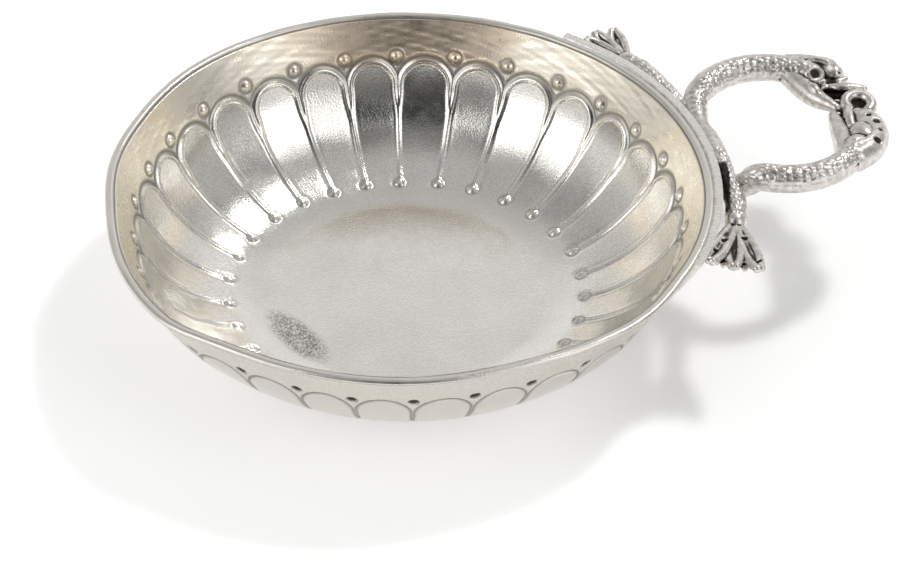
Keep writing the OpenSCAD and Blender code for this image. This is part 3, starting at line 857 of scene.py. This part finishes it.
def merged(parts):
    """One closed skin round closed parts that overlap: its points and its four-sided faces."""
    points = np.vstack([p for p, _ in parts])
    starts = np.cumsum([0] + [len(p) for p, _ in parts[:-1]])
    faces = [f + start for (_, group), start in zip(parts, starts) for f in group]
    rough = plain_mesh("rough", points, faces)
    holder = bpy.data.objects.new("rough", rough)
    bpy.context.scene.collection.objects.link(holder)
    skin = holder.modifiers.new("skin", "REMESH")
    skin.mode = "VOXEL"
    skin.voxel_size = SKIN
    done = holder.evaluated_get(bpy.context.evaluated_depsgraph_get()).to_mesh()
    skin_points = np.empty(3 * len(done.vertices), np.float32)
    done.vertices.foreach_get("co", skin_points)
    corners = np.empty(len(done.loops), np.int32)
    done.loops.foreach_get("vertex_index", corners)
    bpy.data.objects.remove(holder)
    bpy.data.meshes.remove(rough)
    return skin_points.reshape(-1, 3).astype(float), corners.reshape(-1, 4)


def neighbour_mean(points, pairs, count):
    """The mean place of each point's neighbours."""
    mean = np.empty_like(points)
    for axis in range(3):
        mean[:, axis] = np.bincount(pairs[:, 0], points[pairs[:, 1], axis], len(points))
    return mean / count[:, None]


def skin_normals(points, quads):
    """Outward unit directions at a skin's points."""
    across = np.cross(points[quads[:, 2]] - points[quads[:, 0]], points[quads[:, 3]] - points[quads[:, 1]])
    total = np.zeros_like(points)
    for axis in range(3):
        for corner in range(4):
            total[:, axis] += np.bincount(quads[:, corner], across[:, axis], len(points))
    return total / np.maximum(np.linalg.norm(total, axis=1, keepdims=True), 1e-9)


def punch(points, quads, hollows):
    """A skin's points after hollows are punched into it, and the painted shade that darkens each pit."""
    outward = skin_normals(points, quads)
    punched = np.zeros(len(points))
    for x, y, up, size, depth in hollows:
        middle = np.array(head_place(x, y, up, 0)[:3])
        pit = dome(np.linalg.norm(points - middle, axis=1) / size, 0.5)
        points = points - depth * pit[:, None] * outward
        # Painted shade in each punched pit, such as the eye, the mouths and the fin's gaps
        punched = np.maximum(punched, step(pit, *PIT_SHADE_DEPTHS))
    return points, punched


def serpent_piece(name, side, head, hollows, material):
    """A cast serpent as one skin, with punched hollows, filed flat where it lies on the strap."""
    points, quads = merged(body_parts(side) + head + fin_parts(side))
    edges = np.vstack([quads[:, [k, (k + 1) % 4]] for k in range(4)])
    pairs = np.vstack([edges, edges[:, ::-1]])
    count = np.bincount(pairs[:, 0], minlength=len(points))
    points = 0.5 * points + 0.5 * neighbour_mean(points, pairs, count)
    points, punched = punch(points, quads, hollows)
    radius = np.hypot(points[:, 0], points[:, 1])
    least = strap_r(points[:, 2]) + SOLDER_T + STRAP_ROOM
    points[:, :2] *= np.maximum(least / radius, 1)[:, None]
    smooth = points
    for _ in range(SMOOTHING):
        smooth = neighbour_mean(smooth, pairs, count)
    hollow = np.sum((smooth - points) * skin_normals(points, quads), axis=1) / DARK_DEPTH
    degrees = -side * np.degrees(np.arctan2(points[:, 1], points[:, 0]))
    # Painted shade: the tail's flank facing the strap is darkened where the gap between them lies in shadow
    strap_gap_shade = step(radius - least, *STRAP_SHADE_REACH) * between(degrees, *STRAP_SHADE_ANGLES)
    # The hollow shade joins oxide in the casting's hollows with the painted shade of the pits and the strap
    # gap
    shades = {"hollow": np.clip(np.maximum(hollow, np.maximum(punched, strap_gap_shade)), -1, 1)}
    mesh_piece(name, points, [quads], material, [name], shades)


# Materials

class Nodes:
    """A tree of shader nodes, built socket by socket."""

    def __init__(self, tree):
        self.tree = tree

    def add(self, kind, inputs=None, **settings):
        node = self.tree.nodes.new(kind)
        for key, value in settings.items():
            setattr(node, key, value)
        for key, value in (inputs or {}).items():
            self.put(node.inputs[key], value)
        return node

    def put(self, socket, value):
        if isinstance(value, bpy.types.NodeSocket):
            self.tree.links.new(value, socket)
        else:
            socket.default_value = value

    def span(self, value, low, high, to_low=0.0, to_high=1.0):
        """A value carried smoothly from one range to another."""
        return self.add("ShaderNodeMapRange", {
            "Value": value, "From Min": low, "From Max": high,
            "To Min": to_low, "To Max": to_high}, interpolation_type="SMOOTHSTEP").outputs["Result"]

    def math(self, operation, a, b):
        return self.add("ShaderNodeMath", {0: a, 1: b}, operation=operation).outputs["Value"]

    def times(self, a, b):
        return self.math("MULTIPLY", a, b)


class Look(Nodes):
    """A material with one Principled shader."""

    def __init__(self, name):
        self.material = bpy.data.materials.new(name)
        self.material.use_nodes = True
        super().__init__(self.material.node_tree)
        self.shader = next(n for n in self.tree.nodes if n.type == "BSDF_PRINCIPLED")
        self.place = self.add("ShaderNodeTexCoord").outputs["Object"]

    def set(self, **values):
        """Inputs of the shader, with underscores for spaces."""
        for key, value in values.items():
            self.put(self.shader.inputs[key.replace("_", " ")], value)

    def metal(self, colour, rough, relief):
        self.set(Base_Color=colour, Metallic=1.0, Roughness=rough, Normal=relief)
        return self.material

    def shade(self, name):
        """A value that the mesh holds for each point."""
        return self.add("ShaderNodeAttribute", attribute_name=name).outputs["Fac"]

    def noise(self, size, stretch=(1, 1, 1), turn=0, detail=3, roughness=0.55):
        """Noise whose features are about size millimetres, stretched along turned axes."""
        place = self.add("ShaderNodeMapping", {
            "Vector": self.place, "Rotation": (0, 0, turn), "Scale": stretch}).outputs["Vector"]
        return self.add("ShaderNodeTexNoise", {
            "Vector": place, "Scale": 1 / (size * MM), "Detail": detail,
            "Roughness": roughness}).outputs["Fac"]

    def spot(self, middle, half, turn):
        """One inside an oval place and nought outside it."""
        place = self.add("ShaderNodeMapping", {
            "Vector": self.place, "Location": [v * MM for v in middle], "Rotation": (0, 0, turn),
            "Scale": [v * MM for v in half]}, vector_type="TEXTURE").outputs["Vector"]
        away = self.add("ShaderNodeVectorMath", {0: place}, operation="LENGTH").outputs["Value"]
        return self.span(away, 0.55, 1.15, 1.0, 0.0)

    def blend(self, share, a, b):
        """A colour between two colours."""
        node = self.add("ShaderNodeMix", data_type="RGBA")
        for socket, value in ((node.inputs[0], share), (node.inputs[6], a), (node.inputs[7], b)):
            self.put(socket, value)
        return node.outputs[2]

    def relief(self, height, depth, strength, under=None):
        """A bump of depth millimetres, on top of another one."""
        inputs = {"Height": height, "Distance": depth * MM, "Strength": strength}
        if under is not None:
            inputs["Normal"] = under
        return self.add("ShaderNodeBump", inputs).outputs["Normal"]


# Sheet silver: its two tones, then the tones laid over it in turn, with their greatest shares
SHEET_GREY = (0.92, 0.90, 0.84, 1)
SHEET_PALE = (0.97, 0.955, 0.905, 1)
SHEET_TONES = {
    "warmth": ((0.97, 0.89, 0.75, 1), 1),
    "tarnish": ((0.95, 0.74, 0.53, 1), 0.6),
    "grain": ((0.45, 0.44, 0.42, 1), 1),
    "lip": ((0.72, 0.69, 0.63, 1), 0.8),
    # Painted shade on the outer wall and underside, for the shadowed table they mirror, with some warm
    # tarnish
    "outside": ((0.63, 0.60, 0.55, 1), 0.8),
    "stain": ((0.20, 0.19, 0.17, 1), 0.85),
    # The groove tone also takes the painted shade line inside the lip
    "groove": ((0.07, 0.06, 0.05, 1), 0.8),
}
# Shares of the grain on the wall and on the band, and how much of it the floor keeps
GRAIN_SHARES = (0.32, 0.06)
FLOOR_GRAIN = 0.55
# Roughness of the smoothest and roughest patches, and what the sheet's parts add
SHEET_ROUGH = (0.14, 0.26)
ADDED_ROUGH = {"floor": -0.05, "band": 0.10, "lip": 0.12, "groove": 0.25}

# Colours of the cast silver: its two tones, its worn high places and its dark hollows, oxide with painted
# shade in the punched pits and on tail flanks beside the strap
CAST_GREY = (0.60, 0.56, 0.53, 1)
CAST_PALE = (0.80, 0.77, 0.73, 1)
CAST_WORN = (0.90, 0.88, 0.85, 1)
CAST_OXIDE_AND_SHADE = (0.05, 0.042, 0.04, 1)
CAST_ROUGH = (0.24, 0.40)

# Colours of the solder, and the table's white
SOLDER_GREY = (0.60, 0.59, 0.57, 1)
SOLDER_PALE = (0.80, 0.79, 0.77, 1)
SOLDER_ROUGH = (0.25, 0.45)
TABLE_WHITE = (0.88, 0.88, 0.88, 1)
WHITE = (1, 1, 1, 1)


def sheet_silver():
    """Hand-polished sheet with grain and scratches, warm on the band and dark in the grooves, with painted
    shade on the outside and along the lip's inner edge.
    """
    look = Look("sheet_silver")
    tones = {name: look.shade(name) for name in ("groove", "band", "floor", "lip", "outside")}
    band = tones["band"]
    patches = look.span(look.noise(7, detail=4), 0.3, 0.7)
    tones["warmth"] = look.times(band, look.span(patches, 0, 1, 0.45, 1.0))
    tones["tarnish"] = look.times(look.spot(*TARNISH), band)
    grain = look.span(look.noise(0.2, detail=2), 0.38, 0.62)
    grain = look.times(grain, look.span(band, 0, 1, *GRAIN_SHARES))
    tones["grain"] = look.times(grain, look.span(tones["floor"], 0, 1, 1.0, FLOOR_GRAIN))
    specks = look.span(look.noise(0.28, detail=4, roughness=0.75), 0.40, 0.56)
    stain = look.times(look.spot(*STAIN), specks)
    tones["stain"] = look.times(stain, look.span(look.noise(2.4, detail=2), 0.25, 0.45))
    silver = look.blend(patches, SHEET_GREY, SHEET_PALE)
    for name, (tone, share) in SHEET_TONES.items():
        silver = look.blend(look.times(tones[name], share), silver, tone)
    rough = look.span(look.noise(2.2, detail=5, roughness=0.65), 0.3, 0.75, *SHEET_ROUGH)
    for name, added in ADDED_ROUGH.items():
        rough = look.math("ADD", rough, look.times(tones[name], added))
    fine = look.relief(look.noise(0.25, detail=2), 0.05, 0.4)
    fine = look.relief(look.noise(0.5, (1, 0.04, 1), 0.6, 2), 0.02, 0.2, fine)
    fine = look.relief(look.noise(0.4, (0.05, 1, 1), 0.35, 2), 0.02, 0.2, fine)
    return look.metal(silver, rough, fine)


def cast_silver():
    """Cast silver, bright on its high places and darkened in its hollows: oxide there, and painted shade in
    the punched pits and beside the strap.
    """
    look = Look("cast_silver")
    hollow = look.shade("hollow")
    patches = look.span(look.noise(0.9, detail=4), 0.35, 0.65)
    silver = look.blend(patches, CAST_GREY, CAST_PALE)
    silver = look.blend(look.span(hollow, -0.8, -0.1, 1, 0), silver, CAST_WORN)
    uneven = look.math("ADD", hollow, look.span(look.noise(0.7, detail=3), 0.3, 0.7, -0.15, 0.15))
    # Dark hollows: oxide, with painted shade in the punched pits and on tail flanks beside the strap
    silver = look.blend(look.span(uneven, 0.1, 0.75), silver, CAST_OXIDE_AND_SHADE)
    rough = look.span(look.noise(0.8, detail=4), 0.3, 0.7, *CAST_ROUGH)
    rough = look.math("ADD", rough, look.span(hollow, 0.1, 0.8, 0, 0.25))
    grain = look.relief(look.noise(0.3, detail=3), 0.05, 0.35)
    return look.metal(silver, rough, grain)


def solder_silver():
    """Filed solder, a little duller than the silver round it."""
    look = Look("solder_silver")
    patches = look.span(look.noise(0.8, detail=4), 0.35, 0.65)
    silver = look.blend(patches, SOLDER_GREY, SOLDER_PALE)
    rough = look.span(look.noise(0.6, detail=4), 0.3, 0.7, *SOLDER_ROUGH)
    grain = look.relief(look.noise(0.35, detail=3), 0.05, 0.4)
    return look.metal(silver, rough, grain)


sheet_look = sheet_silver()
cast_look = cast_silver()
solder_look = solder_silver()

points, faces, shades = bowl_mesh()
mesh_piece("fluted_bowl", points, faces, sheet_look, ["bowl"], shades)
serpent_piece("rear_serpent", REAR, rear_head(), REAR_HOLLOWS, cast_look)
serpent_piece("front_serpent", FRONT, front_head(), FRONT_HOLLOWS, cast_look)

# Pieces whose CAD meshes show as they are, with their materials
KEPT = {
    "rim_strap": sheet_look,
    "strap_solder": solder_look,
    "crossing_solder": solder_look,
    "rear_tail_solder": solder_look,
    "front_tail_solder": solder_look,
    "tongue_solder": solder_look,
}
for name, material in KEPT.items():
    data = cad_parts[name].data
    data.materials.clear()
    data.materials.append(material)


# Floor, lights and camera

def make_floor():
    """A white table that keeps the shadow and glows a little where camera and metal see it, more on the
    bowl's side as painted light.
    """
    mesh = bpy.data.meshes.new("table")
    corners = [(x * TABLE_HALF, y * TABLE_HALF, 0) for x, y in ((-1, -1), (1, -1), (1, 1), (-1, 1))]
    mesh.from_pydata(corners, [], [(0, 1, 2, 3)])
    table = bpy.data.objects.new("table", mesh)
    table.location.z = -TABLE_DROP * MM
    bpy.context.scene.collection.objects.link(table)
    look = Look("table_white")
    path = look.add("ShaderNodeLightPath").outputs
    seen = look.math("MAXIMUM", path["Is Camera Ray"], path["Is Glossy Ray"])
    seen = look.math("MAXIMUM", seen, path["Is Transmission Ray"])
    along = look.add("ShaderNodeSeparateXYZ", {0: look.place}).outputs["X"]
    # Painted light: the glow is stronger on the bowl's side than at the handle, as if a window lit that
    # side of the table
    glow = look.times(seen, look.span(along, PAINTED_GLOW_CHANGE[0] * MM, PAINTED_GLOW_CHANGE[1] * MM, *TABLE_GLOW))
    look.set(Base_Color=TABLE_WHITE, Roughness=0.8, Specular_IOR_Level=0.1,
             Emission_Color=WHITE, Emission_Strength=glow)
    mesh.materials.append(look.material)


def direction(azimuth, elevation):
    """A direction by degrees round from the handle and above the table."""
    a = math.radians(azimuth)
    e = math.radians(elevation)
    return Vector((math.cos(a) * math.cos(e), math.sin(a) * math.cos(e), math.sin(e)))


def softbox(name, azimuth, elevation, distance, width, height, brightness, mirrored):
    """A lamp face of a given brightness, turned to the object, that metal mirrors or not."""
    lamp = bpy.data.lights.new(name, "AREA")
    lamp.shape = "RECTANGLE"
    lamp.size = width
    lamp.size_y = height
    lamp.energy = brightness * math.pi * width * height
    holder = bpy.data.objects.new(name, lamp)
    away = direction(azimuth, elevation)
    holder.location = away * distance
    holder.rotation_euler = away.to_track_quat("Z", "Y").to_euler()
    holder.visible_glossy = mirrored
    bpy.context.scene.collection.objects.link(holder)


def make_world():
    """A pale room with a greyer ceiling, darkest where the photographer stands."""
    world = bpy.data.worlds.new("studio")
    world.use_nodes = True
    room = Nodes(world.node_tree)
    background = next(n for n in room.tree.nodes if n.type == "BACKGROUND")
    ray = room.add("ShaderNodeTexCoord").outputs["Generated"]
    height = room.add("ShaderNodeSeparateXYZ", {0: ray}).outputs["Z"]
    level = room.span(height, WALLS_END, CEILING_START, PALE_WALLS, GREY_CEILING)
    for azimuth, elevation, core, edge, light in ROOM_PLACES:
        toward = room.add("ShaderNodeVectorMath", {0: ray, 1: direction(azimuth, elevation)},
                          operation="DOT_PRODUCT").outputs["Value"]
        edge_cosine = math.cos(math.radians(edge))
        core_cosine = math.cos(math.radians(core))
        level = room.times(level, room.span(toward, edge_cosine, core_cosine, 1, light))
    room.put(background.inputs["Color"], level)
    room.put(background.inputs["Strength"], 1)
    bpy.context.scene.world = world


def make_camera():
    """The camera at the photograph's place, turned so that the rim's centre falls on its pixel."""
    back = direction(CAMERA_AZIMUTH, CAMERA_ELEVATION)
    right = direction(CAMERA_AZIMUTH + 90, 0)
    up = back.cross(right)
    rim_centre = Vector((0, 0, BOWL_H))
    aside = (PHOTO_W / 2 - RIM_CENTRE_PX[0]) / FOCAL_PX
    below = (PHOTO_H / 2 - RIM_CENTRE_PX[1]) / FOCAL_PX
    ahead = (-back + aside * right - below * up).normalized()
    lens = bpy.data.cameras.new("camera")
    lens.sensor_width = SENSOR_W
    lens.lens = FOCAL_PX * SENSOR_W / PHOTO_W
    lens.clip_start, lens.clip_end = CAMERA_CLIP
    camera = bpy.data.objects.new("camera", lens)
    turned = ahead.to_track_quat("-Z", "Y").to_matrix().to_4x4() @ Matrix.Rotation(CAMERA_ROLL, 4, "Z")
    camera.matrix_world = Matrix.Translation((rim_centre + CAMERA_DISTANCE * back) * MM) @ turned
    bpy.context.scene.collection.objects.link(camera)
    bpy.context.scene.camera = camera


make_floor()
make_world()
for name, lamp in LAMPS.items():
    softbox(name, *lamp)
make_camera()
bpy.context.scene.view_settings.view_transform = "Standard"
